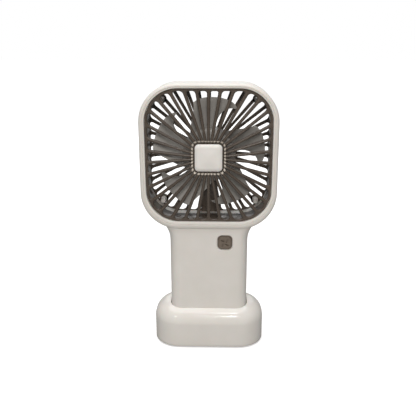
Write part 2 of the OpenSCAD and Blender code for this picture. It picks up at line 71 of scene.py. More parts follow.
# What both halves of the casing share; radii and walls in mm, the rest from the boxes above
casing = {
    "halfWidth": frontHigh[0], "top": frontHigh[2], "bottom": frontLow[2],
    "headBottom": 82.4, "headCorner": 24.0, "front": -frontLow[1], "rear": rearHigh[1],
    "openingHalfX": grilleHigh[0] + 0.2, "openingHalfZ": (grilleHigh[2] - grilleLow[2]) / 2 + 0.2,
    "openingCorner": 20.5, "ledge": 1.0,
    "handleHalfWidth": 25.3, "handleHalfDepth": 12.5, "handleCorner": 6.8,
    "neckFillet": 16.0, "wall": 1.8, "seamGap": 0.12, "seamDepth": 0.25,
}
frameSeat, rearSeat = -12.2, 9.8        # where the front grille's frame and the rear plate rest, along Y


# ---- building surfaces ----
def newForm():
    return {"points": [], "faces": [], "count": 0}


# Every cell of a grid of vertex numbers becomes one four-sided face
def addFaces(form, ids, wrapRows=False, wrapAcross=False, flip=False):
    if wrapRows:
        ids = np.vstack([ids, ids[:1]])
    if wrapAcross:
        ids = np.hstack([ids, ids[:, :1]])
    quads = np.stack([ids[:-1, :-1], ids[1:, :-1], ids[1:, 1:], ids[:-1, 1:]], -1).reshape(-1, 4)
    form["faces"].append(quads[:, ::-1] if flip else quads)


# A grid of points in mm, rows by columns by xyz, is added whole and its vertex numbers come back
def addGrid(form, grid, wrapRows=False, wrapAcross=False, flip=False):
    rows, columns = grid.shape[:2]
    ids = form["count"] + np.arange(rows * columns).reshape(rows, columns)
    form["points"].append(grid.reshape(-1, 3))
    form["count"] += rows * columns
    addFaces(form, ids, wrapRows, wrapAcross, flip)
    return ids


def makeObject(name, form, sharpAngle=32):
    mesh = bpy.data.meshes.new(name)
    points = np.concatenate(form["points"]) * mm
    mesh.from_pydata(points.tolist(), [], np.concatenate(form["faces"]).tolist())
    tidy = bmesh.new()
    tidy.from_mesh(mesh)
    bmesh.ops.remove_doubles(tidy, verts=tidy.verts, dist=3e-6)
    bmesh.ops.dissolve_degenerate(tidy, dist=1e-6, edges=tidy.edges)
    bmesh.ops.recalc_face_normals(tidy, faces=tidy.faces)
    tidy.to_mesh(mesh)
    tidy.free()
    mesh.validate()
    piece = bpy.data.objects.new(name, mesh)
    bpy.context.scene.collection.objects.link(piece)
    smoothEdges(piece, sharpAngle)
    return piece


def smoothEdges(piece, sharpAngle=32):
    piece.data.shade_smooth()
    piece.data.set_sharp_from_angle(angle=math.radians(sharpAngle))


# Booleans one form with others: each operand is applied to the piece's own mesh and then removed
def carve(piece, others, operation="DIFFERENCE", sharpAngle=32):
    for other in others:
        step = piece.modifiers.new("carve", "BOOLEAN")
        step.operation = operation
        step.solver = "EXACT"
        step.object = other
        bpy.context.view_layer.update()
        graph = bpy.context.evaluated_depsgraph_get()
        result = bpy.data.meshes.new_from_object(piece.evaluated_get(graph))
        piece.modifiers.clear()
        old = piece.data
        piece.data = result
        bpy.data.meshes.remove(old)
        bpy.data.objects.remove(other)
    smoothEdges(piece, sharpAngle)


def finishPiece(piece, body, material, replaced=()):
    piece.data.materials.clear()
    piece.data.materials.append(material)
    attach(piece, body)
    if replaced:
        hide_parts(*replaced)
    return piece


# A rounded rectangle as corner centres and outward unit normals:
# the point at inset t is corner centre + (corner radius - t) x normal
def roundedPath(halfX, halfZ, corner, centre=(0.0, 0.0), cornerSteps=20, sideSteps=8):
    anchors, normals = [], []
    signs = [(1, 1), (-1, 1), (-1, -1), (1, -1)]
    for quarter in range(4):
        here = np.array([signs[quarter][0] * (halfX - corner), signs[quarter][1] * (halfZ - corner)])
        after = signs[(quarter + 1) % 4]
        there = np.array([after[0] * (halfX - corner), after[1] * (halfZ - corner)])
        turn = np.radians(90 * quarter + np.linspace(0, 90, cornerSteps + 1))
        anchors.append(np.repeat(here[None], cornerSteps + 1, 0))
        normals.append(np.stack([np.cos(turn), np.sin(turn)], -1))
        share = np.linspace(0, 1, sideSteps + 1)[1:-1, None]
        anchors.append(here + share * (there - here))
        normals.append(np.repeat(normals[-1][-1][None], sideSteps - 1, 0))
    return np.concatenate(anchors) + np.array(centre), np.concatenate(normals)


# Distance from the middle of a rounded rectangle to its edge along a direction:
# the flat side's where the ray meets it, else the corner circle's
def edgeDistance(angle, halfX, halfZ, corner):
    c, s = np.abs(np.cos(angle)) + 1e-12, np.abs(np.sin(angle)) + 1e-12
    cx, cz = halfX - corner, halfZ - corner
    toSide, toTop = halfX / c, halfZ / s
    along = c * cx + s * cz
    toCorner = along + np.sqrt(np.maximum(along ** 2 - cx ** 2 - cz ** 2 + corner ** 2, 0))
    return np.where(toSide * s <= cz, toSide, np.where(toTop * c <= cx, toTop, toCorner))


def smoothStep(x, low, high):
    t = np.clip((x - low) / (high - low), 0, 1)
    return t * t * (3 - 2 * t)


def withDepth(flat, depth):
    return np.stack([flat[..., 0], np.broadcast_to(depth, flat.shape[:-1]), flat[..., 1]], -1)


# A profile of (radius, place along the axis) turned once round an axis along Y or Z
def addLathe(form, profile, centre, axis="Y", steps=48):
    turn = np.linspace(0, 2 * np.pi, steps, endpoint=False)
    radius, along = np.array(profile, float).T
    across = np.outer(radius, np.cos(turn)), np.outer(radius, np.sin(turn))
    run = np.repeat(along[:, None], steps, 1)
    parts = (across[0], run, across[1]) if axis == "Y" else (across[0], across[1], run)
    addGrid(form, np.stack(parts, -1) + np.array(centre, float), wrapAcross=True)


# A rounded rectangle facing along Y, from rows of (inset, y), that shrinks to a point at both ends
def makePlug(name, halfX, halfZ, corner, centre, rows):
    form = newForm()
    anchors, normals = roundedPath(halfX, halfZ, corner, cornerSteps=10, sideSteps=6)
    grid = np.stack([withDepth(anchors + (corner - inset) * normals, y) for inset, y in rows])
    grid = np.concatenate([grid[:1] * [0, 1, 0], grid, grid[-1:] * [0, 1, 0]])
    addGrid(form, grid + np.array([centre[0], 0, centre[1]]), wrapAcross=True)
    return makeObject(name, form)


# ---- materials ----
def srgb(code):
    parts = np.array([int(code[i:i + 2], 16) for i in (1, 3, 5)]) / 255
    linear = np.where(parts <= 0.04045, parts / 12.92, ((parts + 0.055) / 1.055) ** 2.4)
    return (*linear.tolist(), 1.0)


# Adds one node, gives it its settings, a ramp its marks of (place, colour), and plugs its inputs
def addNode(tree, kind, settings=None, inputs=None, marks=()):
    node = tree.nodes.new(kind)
    for key, value in (settings or {}).items():
        setattr(node, key, value)
    for number, (place, colour) in enumerate(marks):
        elements = node.color_ramp.elements
        mark = elements[number] if number < len(elements) else elements.new(place)
        mark.position, mark.color = place, srgb(colour)
    for key, value in (inputs or {}).items():
        if isinstance(value, bpy.types.NodeSocket):
            tree.links.new(value, node.inputs[key])
        else:
            node.inputs[key].default_value = value
    return node


def newMaterial(name, **uniform):
    material = bpy.data.materials.new(name)
    material.use_nodes = True
    tree = material.node_tree
    shader = tree.nodes["Principled BSDF"]
    for key, value in uniform.items():
        shader.inputs[key.replace("_", " ")].default_value = value
    where = addNode(tree, "ShaderNodeTexCoord").outputs["Object"]
    return material, tree, shader, where


patternLow, patternHigh = 0.3, 0.7        # the part of a noise pattern that is used


# Roughness runs from low to high over the middle of the haze; the height's relief is its depth in mm
def addGlossAndRelief(tree, shader, haze, gloss, height, relief):
    rough = addNode(tree, "ShaderNodeMapRange", None, {
        "Value": haze, "From Min": patternLow, "From Max": patternHigh,
        "To Min": gloss[0], "To Max": gloss[1]})
    tree.links.new(rough.outputs["Result"], shader.inputs["Roughness"])
    bump = addNode(tree, "ShaderNodeBump", None, {"Height": height, "Distance": relief * mm})
    tree.links.new(bump.outputs["Normal"], shader.inputs["Normal"])


# Injection-moulded plastic: a faint cloudiness of the pigment, uneven gloss and a fine moulded grain.
# A pattern's scale is 1 / its size, here (size in mm, detail, roughness)
def mouldedPlastic(name, light, dark, gloss, grain, relief, **uniform):
    material, tree, shader, where = newMaterial(name, IOR=1.53, **uniform)
    cloud, haze, pits = (
        addNode(tree, "ShaderNodeTexNoise", None, {
            "Vector": where, "Scale": 1 / (size * mm), "Detail": detail, "Roughness": rough}).outputs["Fac"]
        for size, detail, rough in ((14, 3, 0.5), (6, 4, 0.5), (grain, 3, 0.6)))
    ramp = addNode(tree, "ShaderNodeValToRGB", None, {"Fac": cloud},
                   [(patternLow, dark), (patternHigh, light)])
    tree.links.new(ramp.outputs["Color"], shader.inputs["Base Color"])
    addGlossAndRelief(tree, shader, haze, gloss, pits, relief)
    return material


# Plated or drawn metal: fine lines or grain in its gloss, no colour cast of its own
def metal(name, light, dark, gloss, grain, relief, stretch=(1, 1, 1)):
    material, tree, shader, where = newMaterial(name, Metallic=1.0)
    mapped = addNode(tree, "ShaderNodeMapping", None, {"Vector": where, "Scale": stretch})
    lines = addNode(tree, "ShaderNodeTexNoise", None, {
        "Vector": mapped.outputs["Vector"], "Scale": 1 / (grain * mm),
        "Detail": 4, "Roughness": 0.6}).outputs["Fac"]
    ramp = addNode(tree, "ShaderNodeValToRGB", None, {"Fac": lines},
                   [(patternLow, dark), (patternHigh, light)])
    tree.links.new(ramp.outputs["Color"], shader.inputs["Base Color"])
    addGlossAndRelief(tree, shader, lines, gloss, lines, relief)
    return material


# Warm white ABS off a satin mould; the dock's is off a polished one, so it mirrors the lamps
casingAbs = mouldedPlastic("casing_abs_satin", "#e6e2dc", "#e1ddd6", (0.34, 0.42), 0.35, 0.006,
                           Subsurface_Weight=0.06, Subsurface_Scale=0.002)
dockAbs = mouldedPlastic("dock_abs_polished", "#e6e2dc", "#e2ded7", (0.10, 0.15), 2.4, 0.004,
                         Subsurface_Weight=0.06, Subsurface_Scale=0.002)
capAbs = mouldedPlastic("cap_abs_gloss", "#ece9e4", "#e8e4de", (0.2, 0.27), 1.2, 0.003,
                        Subsurface_Weight=0.06, Subsurface_Scale=0.002)
# Taupe ABS with a spark-eroded mould grain; the real grain is about 0.1 mm and is drawn at 0.3 mm
grilleAbs = mouldedPlastic("grille_abs_taupe", "#594f46", "#4f463e", (0.24, 0.33), 0.3, 0.012)
buttonAbs = mouldedPlastic("button_abs_taupe", "#786d62", "#6c6155", (0.34, 0.42), 0.25, 0.010)
# Polypropylene blades: slightly waxy, paler than the grilles
bladePp = mouldedPlastic("blade_polypropylene", "#aeaba6", "#a3a09b", (0.3, 0.4), 0.8, 0.006)
# Filled nylon and black mouldings: dull with a coarse grain. Rubber and foam: nearly no gloss, open pores
nylon = mouldedPlastic("motor_base_nylon", "#d5cfc3", "#c8c1b3", (0.4, 0.5), 0.5, 0.010)
blackPlastic = mouldedPlastic("black_moulding", "#232427", "#1b1c1e", (0.4, 0.55), 0.3, 0.010)
footRubber = mouldedPlastic("foot_rubber", "#4a4743", "#403d3a", (0.7, 0.85), 0.4, 0.03)
foam = mouldedPlastic("cell_foam", "#3c3c3e", "#2b2b2d", (0.9, 1.0), 0.5, 0.12)
cellSleeve = mouldedPlastic("cell_sleeve_pvc", "#3f7fb4", "#37749f", (0.2, 0.3), 3.0, 0.02)
# Plated screws shine; stamped sheet is duller; stacked sheets show as lines along Y
zincSteel = metal("screw_zinc_steel", "#c9ccd0", "#b3b6ba", (0.22, 0.34), 0.25, 0.003)
stampedSteel = metal("stamped_steel", "#b9bcc0", "#a5a8ac", (0.28, 0.4), 0.6, 0.003)
lamination = metal("silicon_steel_stack", "#8d9196", "#74787d", (0.35, 0.5), 0.35, 0.02, (0.05, 1, 0.05))
# Sintered bushes are matt and pitted, wound wire shows its turns, ferrite is a dull charcoal
bronze = metal("sintered_bronze", "#b98d55", "#9c7442", (0.45, 0.6), 0.12, 0.02)
copperWire = metal("enamelled_copper", "#c46a33", "#a4521f", (0.2, 0.32), 0.4, 0.05, (0.2, 1, 0.2))
ferrite = mouldedPlastic("sintered_ferrite", "#3a3a3d", "#2e2e31", (0.5, 0.65), 0.3, 0.02)


# Green solder mask with the tracks showing through as a slightly lighter web
def solderMask():
    material, tree, shader, where = newMaterial("board_solder_mask", IOR=1.5)
    web = addNode(tree, "ShaderNodeTexVoronoi", {"feature": "DISTANCE_TO_EDGE"},
                  {"Vector": where, "Scale": 1 / (2.2 * mm)}).outputs["Distance"]
    ramp = addNode(tree, "ShaderNodeValToRGB", None, {"Fac": web}, [(0.06, "#2f7a4e"), (0.1, "#1c5a38")])
    tree.links.new(ramp.outputs["Color"], shader.inputs["Base Color"])
    haze = addNode(tree, "ShaderNodeTexNoise", None, {
        "Vector": where, "Scale": 1 / (4 * mm), "Detail": 2, "Roughness": 0.5}).outputs["Fac"]
    addGlossAndRelief(tree, shader, haze, (0.25, 0.35), web, 0.02)
    return material


# Silicone insulation; a step along one axis gives each lead its own colour, from marks of (mm, colour)
def leadInsulation(name, axis, steps, end):
    material, tree, shader, where = newMaterial(name, IOR=1.45)
    first = steps[0][0]
    parts = addNode(tree, "ShaderNodeSeparateXYZ", None, {"Vector": where})
    place = addNode(tree, "ShaderNodeMapRange", None,
                    {"Value": parts.outputs[axis], "From Min": first * mm, "From Max": end * mm})
    ramp = addNode(tree, "ShaderNodeValToRGB", None, {"Fac": place.outputs["Result"]},
                   [((at - first) / (end - first), colour) for at, colour in steps])
    ramp.color_ramp.interpolation = "CONSTANT"
    tree.links.new(ramp.outputs["Color"], shader.inputs["Base Color"])
    haze, pits = (
        addNode(tree, "ShaderNodeTexNoise", None, {
            "Vector": where, "Scale": 1 / (size * mm), "Detail": 2, "Roughness": 0.5}).outputs["Fac"]
        for size in (2, 0.6))
    addGlossAndRelief(tree, shader, haze, (0.4, 0.5), pits, 0.01)
    return material


# The front grille's plastic, with a painted highlight: a ring of lighter colour on the rib ends round the cap
# stands in for the light that their beads catch.
# The distance from the hub is a rounded square's, the sixth root of x^6 + z^6
def ribbedPlastic():
    beadHighlightAt, beadHighlightFull, beadHighlightEnd = 10.05, 0.3, 0.65
    material = mouldedPlastic("front_grille_abs_taupe", "#594f46", "#4f463e", (0.24, 0.33), 0.3, 0.012)
    tree = material.node_tree
    colour = tree.nodes["Principled BSDF"].inputs["Base Color"]
    body = colour.links[0].from_socket
    where = addNode(tree, "ShaderNodeTexCoord").outputs["Object"]
    parts = addNode(tree, "ShaderNodeSeparateXYZ", None, {"Vector": where})
    up = addNode(tree, "ShaderNodeMath", {"operation": "SUBTRACT"}, {0: parts.outputs["Z"], 1: hubZ * mm})
    powers = []
    for value in (parts.outputs["X"], up.outputs["Value"]):
        size = addNode(tree, "ShaderNodeMath", {"operation": "ABSOLUTE"}, {0: value}).outputs["Value"]
        powers.append(addNode(tree, "ShaderNodeMath", {"operation": "POWER"}, {0: size, 1: 6}))
    total = addNode(tree, "ShaderNodeMath", {"operation": "ADD"},
                    {number: power.outputs["Value"] for number, power in enumerate(powers)})
    reach = addNode(tree, "ShaderNodeMath", {"operation": "POWER"}, {0: total.outputs["Value"], 1: 1 / 6})
    off = addNode(tree, "ShaderNodeMath", {"operation": "SUBTRACT"},
                  {0: reach.outputs["Value"], 1: beadHighlightAt * mm})
    away = addNode(tree, "ShaderNodeMath", {"operation": "ABSOLUTE"}, {0: off.outputs["Value"]})
    paintedBeadHighlight = addNode(tree, "ShaderNodeMapRange", {"interpolation_type": "SMOOTHSTEP"}, {
        "Value": away.outputs["Value"], "From Min": beadHighlightFull * mm, "From Max": beadHighlightEnd * mm,
        "To Min": 1, "To Max": 0})
    # painted highlight: near the cap the rib ends' colour is mixed towards a light tan
    tone = addNode(tree, "ShaderNodeMix", {"data_type": "RGBA"},
                   {0: paintedBeadHighlight.outputs["Result"], 6: body, 7: srgb("#cbc2b6")})
    tree.links.new(tone.outputs[2], colour)
    return material


frontGrilleAbs = ribbedPlastic()
solder = solderMask()
motorLeadCover = leadInsulation("motor_lead_silicone", "X",
                                [(-4, "#1d1d1f"), (-1, "#d9d6d0"), (1, "#b3272a")], 4)
cellLeadCover = leadInsulation("cell_lead_silicone", "Z", [(0, "#1d1d1f"), (60, "#b3272a")], 100)
print("materials made")


# ---- camera and studio ----
studio = {
    "cameraPlace": (0.008, -0.3441, 0.197), "lookDown": 16.87, "lookLeft": 1.45, "focalLength": 47.34,
    "floorHalf": 6.0, "floorShade": "#f2f1f0", "floorColour": "#f6f5f4", "floorGlow": "#9a9a9a",
    "bounceColour": "#8c8b89",
    "worldColour": "#f1f4fa", "worldStrength": 0.09, "backdropColour": "#ffffff",
    "skyStrength": 2.4, "skySpread": 70, "skyTilt": (2, -5, 0),
}


def buildStudio():
    camera = bpy.data.cameras.new("studio_camera")
    camera.lens = studio["focalLength"]
    camera.clip_start = 0.01
    holder = bpy.data.objects.new("studio_camera", camera)
    holder.location = studio["cameraPlace"]
    holder.rotation_euler = (math.radians(90 - studio["lookDown"]), 0, math.radians(studio["lookLeft"]))
    bpy.context.scene.collection.objects.link(holder)
    bpy.context.scene.camera = holder

    half = studio["floorHalf"]
    mesh = bpy.data.meshes.new("studio_floor")
    corners = [(-half, -half, 0), (half, -half, 0), (half, half, 0), (-half, half, 0)]
    mesh.from_pydata(corners, [], [(0, 1, 2, 3)])
    floor = bpy.data.objects.new("studio_floor", mesh)
    bpy.context.scene.collection.objects.link(floor)
    # pale card; the light that it throws back on the fan is held down to a grey card's
    paper, tree, shader, where = newMaterial("floor_card", Roughness=0.9)
    fibres = addNode(tree, "ShaderNodeTexNoise", None, {
        "Vector": where, "Scale": 1 / (40 * mm), "Detail": 2, "Roughness": 0.5})
    card = addNode(tree, "ShaderNodeValToRGB", None, {"Fac": fibres.outputs["Fac"]},
                   [(patternLow, studio["floorShade"]), (patternHigh, studio["floorColour"])])
    seen = addNode(tree, "ShaderNodeLightPath").outputs["Is Camera Ray"]
    tone = addNode(tree, "ShaderNodeMix", {"data_type": "RGBA"},
                   {0: seen, 6: srgb(studio["bounceColour"]), 7: card.outputs["Color"]}).outputs[2]
    # nothing of the card is seen from below, so that the underside can be looked at
    back = addNode(tree, "ShaderNodeNewGeometry").outputs["Backfacing"]
    under = addNode(tree, "ShaderNodeMath", {"operation": "MULTIPLY"}, {0: back, 1: seen}).outputs["Value"]
    gone = addNode(tree, "ShaderNodeBsdfTransparent").outputs["BSDF"]
    clear = addNode(tree, "ShaderNodeMixShader", None, {0: under, 1: shader.outputs["BSDF"], 2: gone})
    tree.links.new(clear.outputs["Shader"], tree.nodes["Material Output"].inputs["Surface"])
    tree.links.new(tone, shader.inputs["Base Color"])
    shader.inputs["Emission Color"].default_value = srgb(studio["floorGlow"])
    tree.links.new(seen, shader.inputs["Emission Strength"])
    floor.data.materials.append(paper)

    world = bpy.data.worlds.new("studio_world")
    world.use_nodes = True
    tree = world.node_tree
    seen = addNode(tree, "ShaderNodeLightPath").outputs["Is Camera Ray"]
    lit, shown = tree.nodes["Background"], addNode(tree, "ShaderNodeBackground")
    lit.inputs["Color"].default_value = srgb(studio["worldColour"])
    lit.inputs["Strength"].default_value = studio["worldStrength"]
    shown.inputs["Color"].default_value = srgb(studio["backdropColour"])
    mixed = addNode(tree, "ShaderNodeMixShader", None,
                    {0: seen, 1: lit.outputs["Background"], 2: shown.outputs["Background"]})
    tree.links.new(mixed.outputs["Shader"], tree.nodes["World Output"].inputs["Surface"])
    bpy.context.scene.world = world
    bpy.context.scene.view_settings.view_transform = "Standard"

    sun = bpy.data.lights.new("sky_panel", "SUN")
    sun.energy, sun.angle = studio["skyStrength"], math.radians(studio["skySpread"])
    panel = bpy.data.objects.new("sky_panel", sun)
    panel.rotation_euler = [math.radians(turn) for turn in studio["skyTilt"]]
    bpy.context.scene.collection.objects.link(panel)

    # name, place, aimed at, width, height, watts, colour; all in metres
    lamps = [
        ("key_softbox", (0.04, -1.0, 0.5), (0, 0, 0.1), 0.2, 0.2, 4.8, "#fffbf7"),
        ("back_softbox", (0.0, 0.95, 0.62), (0, 0, 0.05), 1.3, 0.7, 3.5, "#ffffff"),
        ("left_softbox", (-0.4, -0.88, 0.52), (0, 0, 0.12), 0.16, 0.08, 0.5, "#fff9f3"),
        ("strip_lamp", (0.037, -0.85, 0.62), (0, 0, 0.03), 0.042, 0.025, 0.5, "#ffffff"),
        ("upper_strip", (0.037, -0.62, 0.82), (0, 0, 0.03), 0.042, 0.025, 0.3, "#ffffff"),
    ]
    for name, place, aim, width, height, watts, colour in lamps:
        light = bpy.data.lights.new(name, "AREA")
        light.shape, light.size, light.size_y = "RECTANGLE", width, height
        light.energy = watts
        light.color = srgb(colour)[:3]
        lamp = bpy.data.objects.new(name, light)
        lamp.location = place
        towards = np.array(aim) - np.array(place)
        flat = math.hypot(towards[0], towards[1])
        lamp.rotation_euler = (math.atan2(flat, -towards[2]), 0, math.atan2(-towards[0], towards[1]))
        lamp.visible_glossy = name != "key_softbox"          # the dock mirrors the small strips only
        bpy.context.scene.collection.objects.link(lamp)


buildStudio()
print("camera, floor and lights made")


# ---- casing halves ----
# The head's ring as rows from the seam, over the outer edge, across the face and down the duct.
# A row lies between the head's outline H and the opening's outline O: H + (O - H) x inset / width
def addHeadRing(form, side, profile):
    c = casing
    headMid = (c["top"] + c["headBottom"]) / 2
    outline, normal = roundedPath(c["halfWidth"], c["top"] - headMid, c["headCorner"], (0, headMid), 28, 10)
    outline = outline + c["headCorner"] * normal
    opening, turned = roundedPath(c["openingHalfX"], c["openingHalfZ"], c["openingCorner"],
                                  (hubX, hubZ), 28, 10)
    opening = opening + c["openingCorner"] * turned
    width = np.linalg.norm(opening - outline, axis=1)
    inward = (opening - outline) / width[:, None]
    rows = [withDepth(outline + inset[:, None] * inward, side * depth)
            for inset, depth in ((np.broadcast_to(i, width.shape), d) for i, d in profile(width))]
    addGrid(form, np.stack(rows), wrapRows=True, wrapAcross=True)


# Front face: an outer rounded band, a fine groove, a flat inner band, then the seat of the grille
def frontRingProfile(width):
    c = casing
    band, drop, edge = 0.6 * width, 2.7, 0.4
    face = c["front"] - 0.05
    turn = np.radians(np.linspace(0, 90, 13))
    rows = [(0.25, c["seamGap"]), (0.0, c["seamGap"] + c["seamDepth"])]
    rows += [(0.0, depth) for depth in np.linspace(2, face - drop - 0.4, 5)]
    rows += [(band * (1 - np.cos(t)), face - drop + drop * np.sin(t)) for t in turn]
    groove = [(0.12, 0.3), (0.24, 0.45), (0.4, 0.45), (0.52, 0.02)]
    rows += [(band + past, face - deep) for past, deep in groove]
    rows += [(width - edge, face - 0.12)]
    rows += [(width - edge + edge * np.sin(t), face - 0.12 - edge * (1 - np.cos(t))) for t in turn[2::3]]
    seat = -frameSeat
    rows += [(width, seat), (width + c["ledge"], seat)]
    rows += [(width + c["ledge"], depth) for depth in (seat - 0.3, 6.0, c["seamGap"])]
    return rows


# Rear face: one large rounding of 6 mm up to the opening, then the seat of the rear grille
def rearRingProfile(width):
    c = casing
    radius, edge = 6.0, 0.4
    flat = c["rear"] - radius
    turn = np.radians(np.linspace(0, 90, 15))
    rows = [(0.25, c["seamGap"]), (0.0, c["seamGap"] + c["seamDepth"])]
    rows += [(0.0, depth) for depth in (1.5, 3.5, flat - 0.2)]
    reach = [(width - edge) * (1 - np.cos(t)) for t in turn]
    rows += [(inset, flat + np.sqrt(radius ** 2 - (radius - np.minimum(inset, radius)) ** 2))
             for inset in reach]
    crest = flat + np.sqrt(radius ** 2 - (radius - (width - edge)) ** 2)
    rows += [(width - edge + edge * np.sin(t), crest - edge * (1 - np.cos(t))) for t in turn[3::4]]
    rows += [(width, rearSeat), (width + 0.35, rearSeat - 0.1), (width + 0.4, rearSeat - 0.4)]
    rows += [(width + 0.6, 4.0), (width + c["ledge"], c["seamGap"])]
    return rows


# Half of the handle's section at one height: half a rounded rectangle, from seam to seam,
# with its corners' radius and its size reduced by the inset
def halfSection(halfWidth, inset, side, groove):
    c = casing
    halfX, halfY = halfWidth - inset, c["handleHalfDepth"] - inset
    radius = max(c["handleCorner"] - inset, 0.05)
    turn = np.radians(np.linspace(0, 90, 15))
    right = [(halfX - groove, c["seamGap"]), (halfX, c["seamGap"] + (c["seamDepth"] if groove else 0.05))]
    right += [(halfX, y) for y in np.linspace(1.2, halfY - radius - 0.2, 4)]
    right += [(halfX - radius + radius * np.cos(t), halfY - radius + radius * np.sin(t)) for t in turn]
    right += [(x, halfY) for x in np.linspace(0.8, 0.2, 4) * (halfX - radius)]
    right = np.array(right)
    whole = np.concatenate([right, [[0, halfY]], right[::-1] * [-1, 1]])
    return whole * [1, side]


# The neck widens along a circle that touches the handle's side and the head's corner:
# half width = fillet centre x - sqrt(radius^2 - (z - fillet centre z)^2)
def neckHalfWidth(z):
    c = casing
    arcX, arcZ = c["halfWidth"] - c["headCorner"], c["headBottom"] + c["headCorner"]
    centreX = c["handleHalfWidth"] + c["neckFillet"]
    centreZ = arcZ - math.sqrt((c["headCorner"] + c["neckFillet"]) ** 2 - (centreX - arcX) ** 2)
    if z <= centreZ:
        return c["handleHalfWidth"]
    return centreX - math.sqrt(c["neckFillet"] ** 2 - (z - centreZ) ** 2)


# Half of the handle as a wall of even thickness: sections stacked up the handle, closed at its foot
def addHandleHalf(form, side):
    c = casing
    topZ, footEdge, neckLow, neckHigh = 87.2, 2.0, 72.5, 73.3
    turn = np.radians(np.linspace(0, 90, 9))

    def skin(extra, foot, edge):
        rows, groove = [], 0.25 if extra == 0 else 0.0
        base = halfSection(c["handleHalfWidth"], extra + edge, side, 0.0)
        for share in (0.0, 0.35, 0.7, 1.0):
            rows.append(np.column_stack([base * share, np.full(len(base), foot)]))
        for t in turn[1:]:
            line = halfSection(c["handleHalfWidth"], extra + edge * (1 - math.sin(t)), side, groove)
            rows.append(np.column_stack([line, np.full(len(line), foot + edge * (1 - math.cos(t)))]))
        heights = np.concatenate([np.linspace(foot + edge + 1, neckLow, 14), np.linspace(neckHigh, topZ, 18)])
        for z in heights:
            line = halfSection(neckHalfWidth(z), extra, side, groove)
            rows.append(np.column_stack([line, np.full(len(line), z)]))
        return np.stack(rows)

    outer = addGrid(form, skin(0.0, c["bottom"], footEdge))
    inner = addGrid(form, skin(c["wall"], c["bottom"] + c["wall"], 0.6), flip=True)
    addFaces(form, np.stack([outer[:, 0], inner[:, 0]]), flip=True)
    addFaces(form, np.stack([outer[:, -1], inner[:, -1]]))
    addFaces(form, np.stack([outer[-1], inner[-1]]))


def makeFrontShell():
    ring, handle = newForm(), newForm()
    addHeadRing(ring, -1, frontRingProfile)
    addHandleHalf(handle, -1)
    shell = makeObject("front_casing", ring)
    carve(shell, [makeObject("front_handle", handle)], "UNION")
    # the button's hole has a 0.6 mm chamfer at the surface
    centreX, centreZ = (buttonLow[0] + buttonHigh[0]) / 2, (buttonLow[2] + buttonHigh[2]) / 2
    face = -casing["handleHalfDepth"]
    hole = makePlug("button_hole", 4.72, 4.82, 2.82, (centreX, centreZ),
                    [(-0.72, face - 1), (-0.6, face - 0.05), (-0.45, face + 0.12), (-0.05, face + 0.5),
                     (0.0, face + 0.7), (0.0, face + 4)])
    carve(shell, [hole])
    return finishPiece(shell, "fan", casingAbs, ["front_shell"])


def makeRearShell():
    ring, handle = newForm(), newForm()
    addHeadRing(ring, 1, rearRingProfile)
    addHandleHalf(handle, 1)
    shell = makeObject("rear_casing", ring)
    carve(shell, [makeObject("rear_handle", handle)], "UNION")
    deep = casing["handleHalfDepth"]
    screwX = (caseScrewHigh[0] - caseScrewLow[0]) / 2 - 2.1
    screwZ = (caseScrewLow[2] + 2.1, caseScrewHigh[2] - 2.1)
    cutters, cups = [], newForm()
    for x in (-screwX, screwX):
        for z in screwZ:
            sink = newForm()
            addLathe(sink, [(0, 8.3), (2.4, 8.3), (2.4, 12.1), (2.75, 12.6), (3.0, 14), (0, 14)], (x, 0, z))
            cutters.append(makeObject("screw_sink", sink))
            addLathe(cups, [(1.2, 7.9), (3.1, 7.9), (3.1, 11.2), (2.45, 11.2), (2.45, 8.2), (1.2, 8.2),
                            (1.2, 7.9)], (x, 0, z))
    # posts that the rear grille is screwed to, long enough to hide the screws' tips
    postX, postZ = grilleScrewHigh[0] - 1.8, (grilleScrewHigh[2] - grilleScrewLow[2]) / 2 - 1.8
    postFoot = grilleScrewLow[1] - 0.5
    for sx in (-1, 1):
        for sz in (-1, 1):
            addLathe(cups, [(0, postFoot), (1.3, postFoot), (1.5, postFoot + 0.2), (1.55, postFoot + 0.5),
                            (2.0, rearSeat - 0.02), (0, rearSeat - 0.02)],
                     (sx * postX, 0, hubZ + sz * postZ), steps=32)
    usbX, usbZ = (usbLow[0] + usbHigh[0]) / 2, (usbLow[2] + usbHigh[2]) / 2
    cutters.append(makePlug("usb_hole", 4.75, 1.9, 1.85, (usbX, usbZ),
                            [(0, deep - 3), (0, deep - 0.35), (-0.35, deep + 0.02), (-0.5, deep + 1)]))
    carve(shell, cutters)
    cupPiece = makeObject("screw_cups", cups)
    joined = bmesh.new()
    joined.from_mesh(shell.data)
    joined.from_mesh(cupPiece.data)
    joined.to_mesh(shell.data)
    joined.free()
    bpy.data.objects.remove(cupPiece)
    smoothEdges(shell)
    return finishPiece(shell, "fan", casingAbs, ["rear_shell"])


makeFrontShell()
makeRearShell()
print("casing halves made")


# ---- grilles ----
grille = {
    "ribCount": 34, "ribInnerWidth": 1.6, "ribOuterWidth": 2.2, "stretch": 1.045,
    "endRadius": 1.4, "cornerEndRadius": 2.2, "thickness": 1.8,
}


def ribAngles():
    turn = 2 * np.pi * np.arange(grille["ribCount"]) / grille["ribCount"]
    return np.arctan2(np.sin(turn), grille["stretch"] * np.cos(turn))


def ribWidth(reach):
    return grille["ribInnerWidth"] + (grille["ribOuterWidth"] - grille["ribInnerWidth"]) * (reach - 10) / 35


# One edge of each rib at distance reach: reach x direction +- half the width x the direction's normal
def ribEdge(angle, reach, hand):
    half = hand * ribWidth(reach) / 2
    return np.stack([reach * np.sin(angle) + half * np.cos(angle),
                     reach * np.cos(angle) - half * np.sin(angle)], -1)


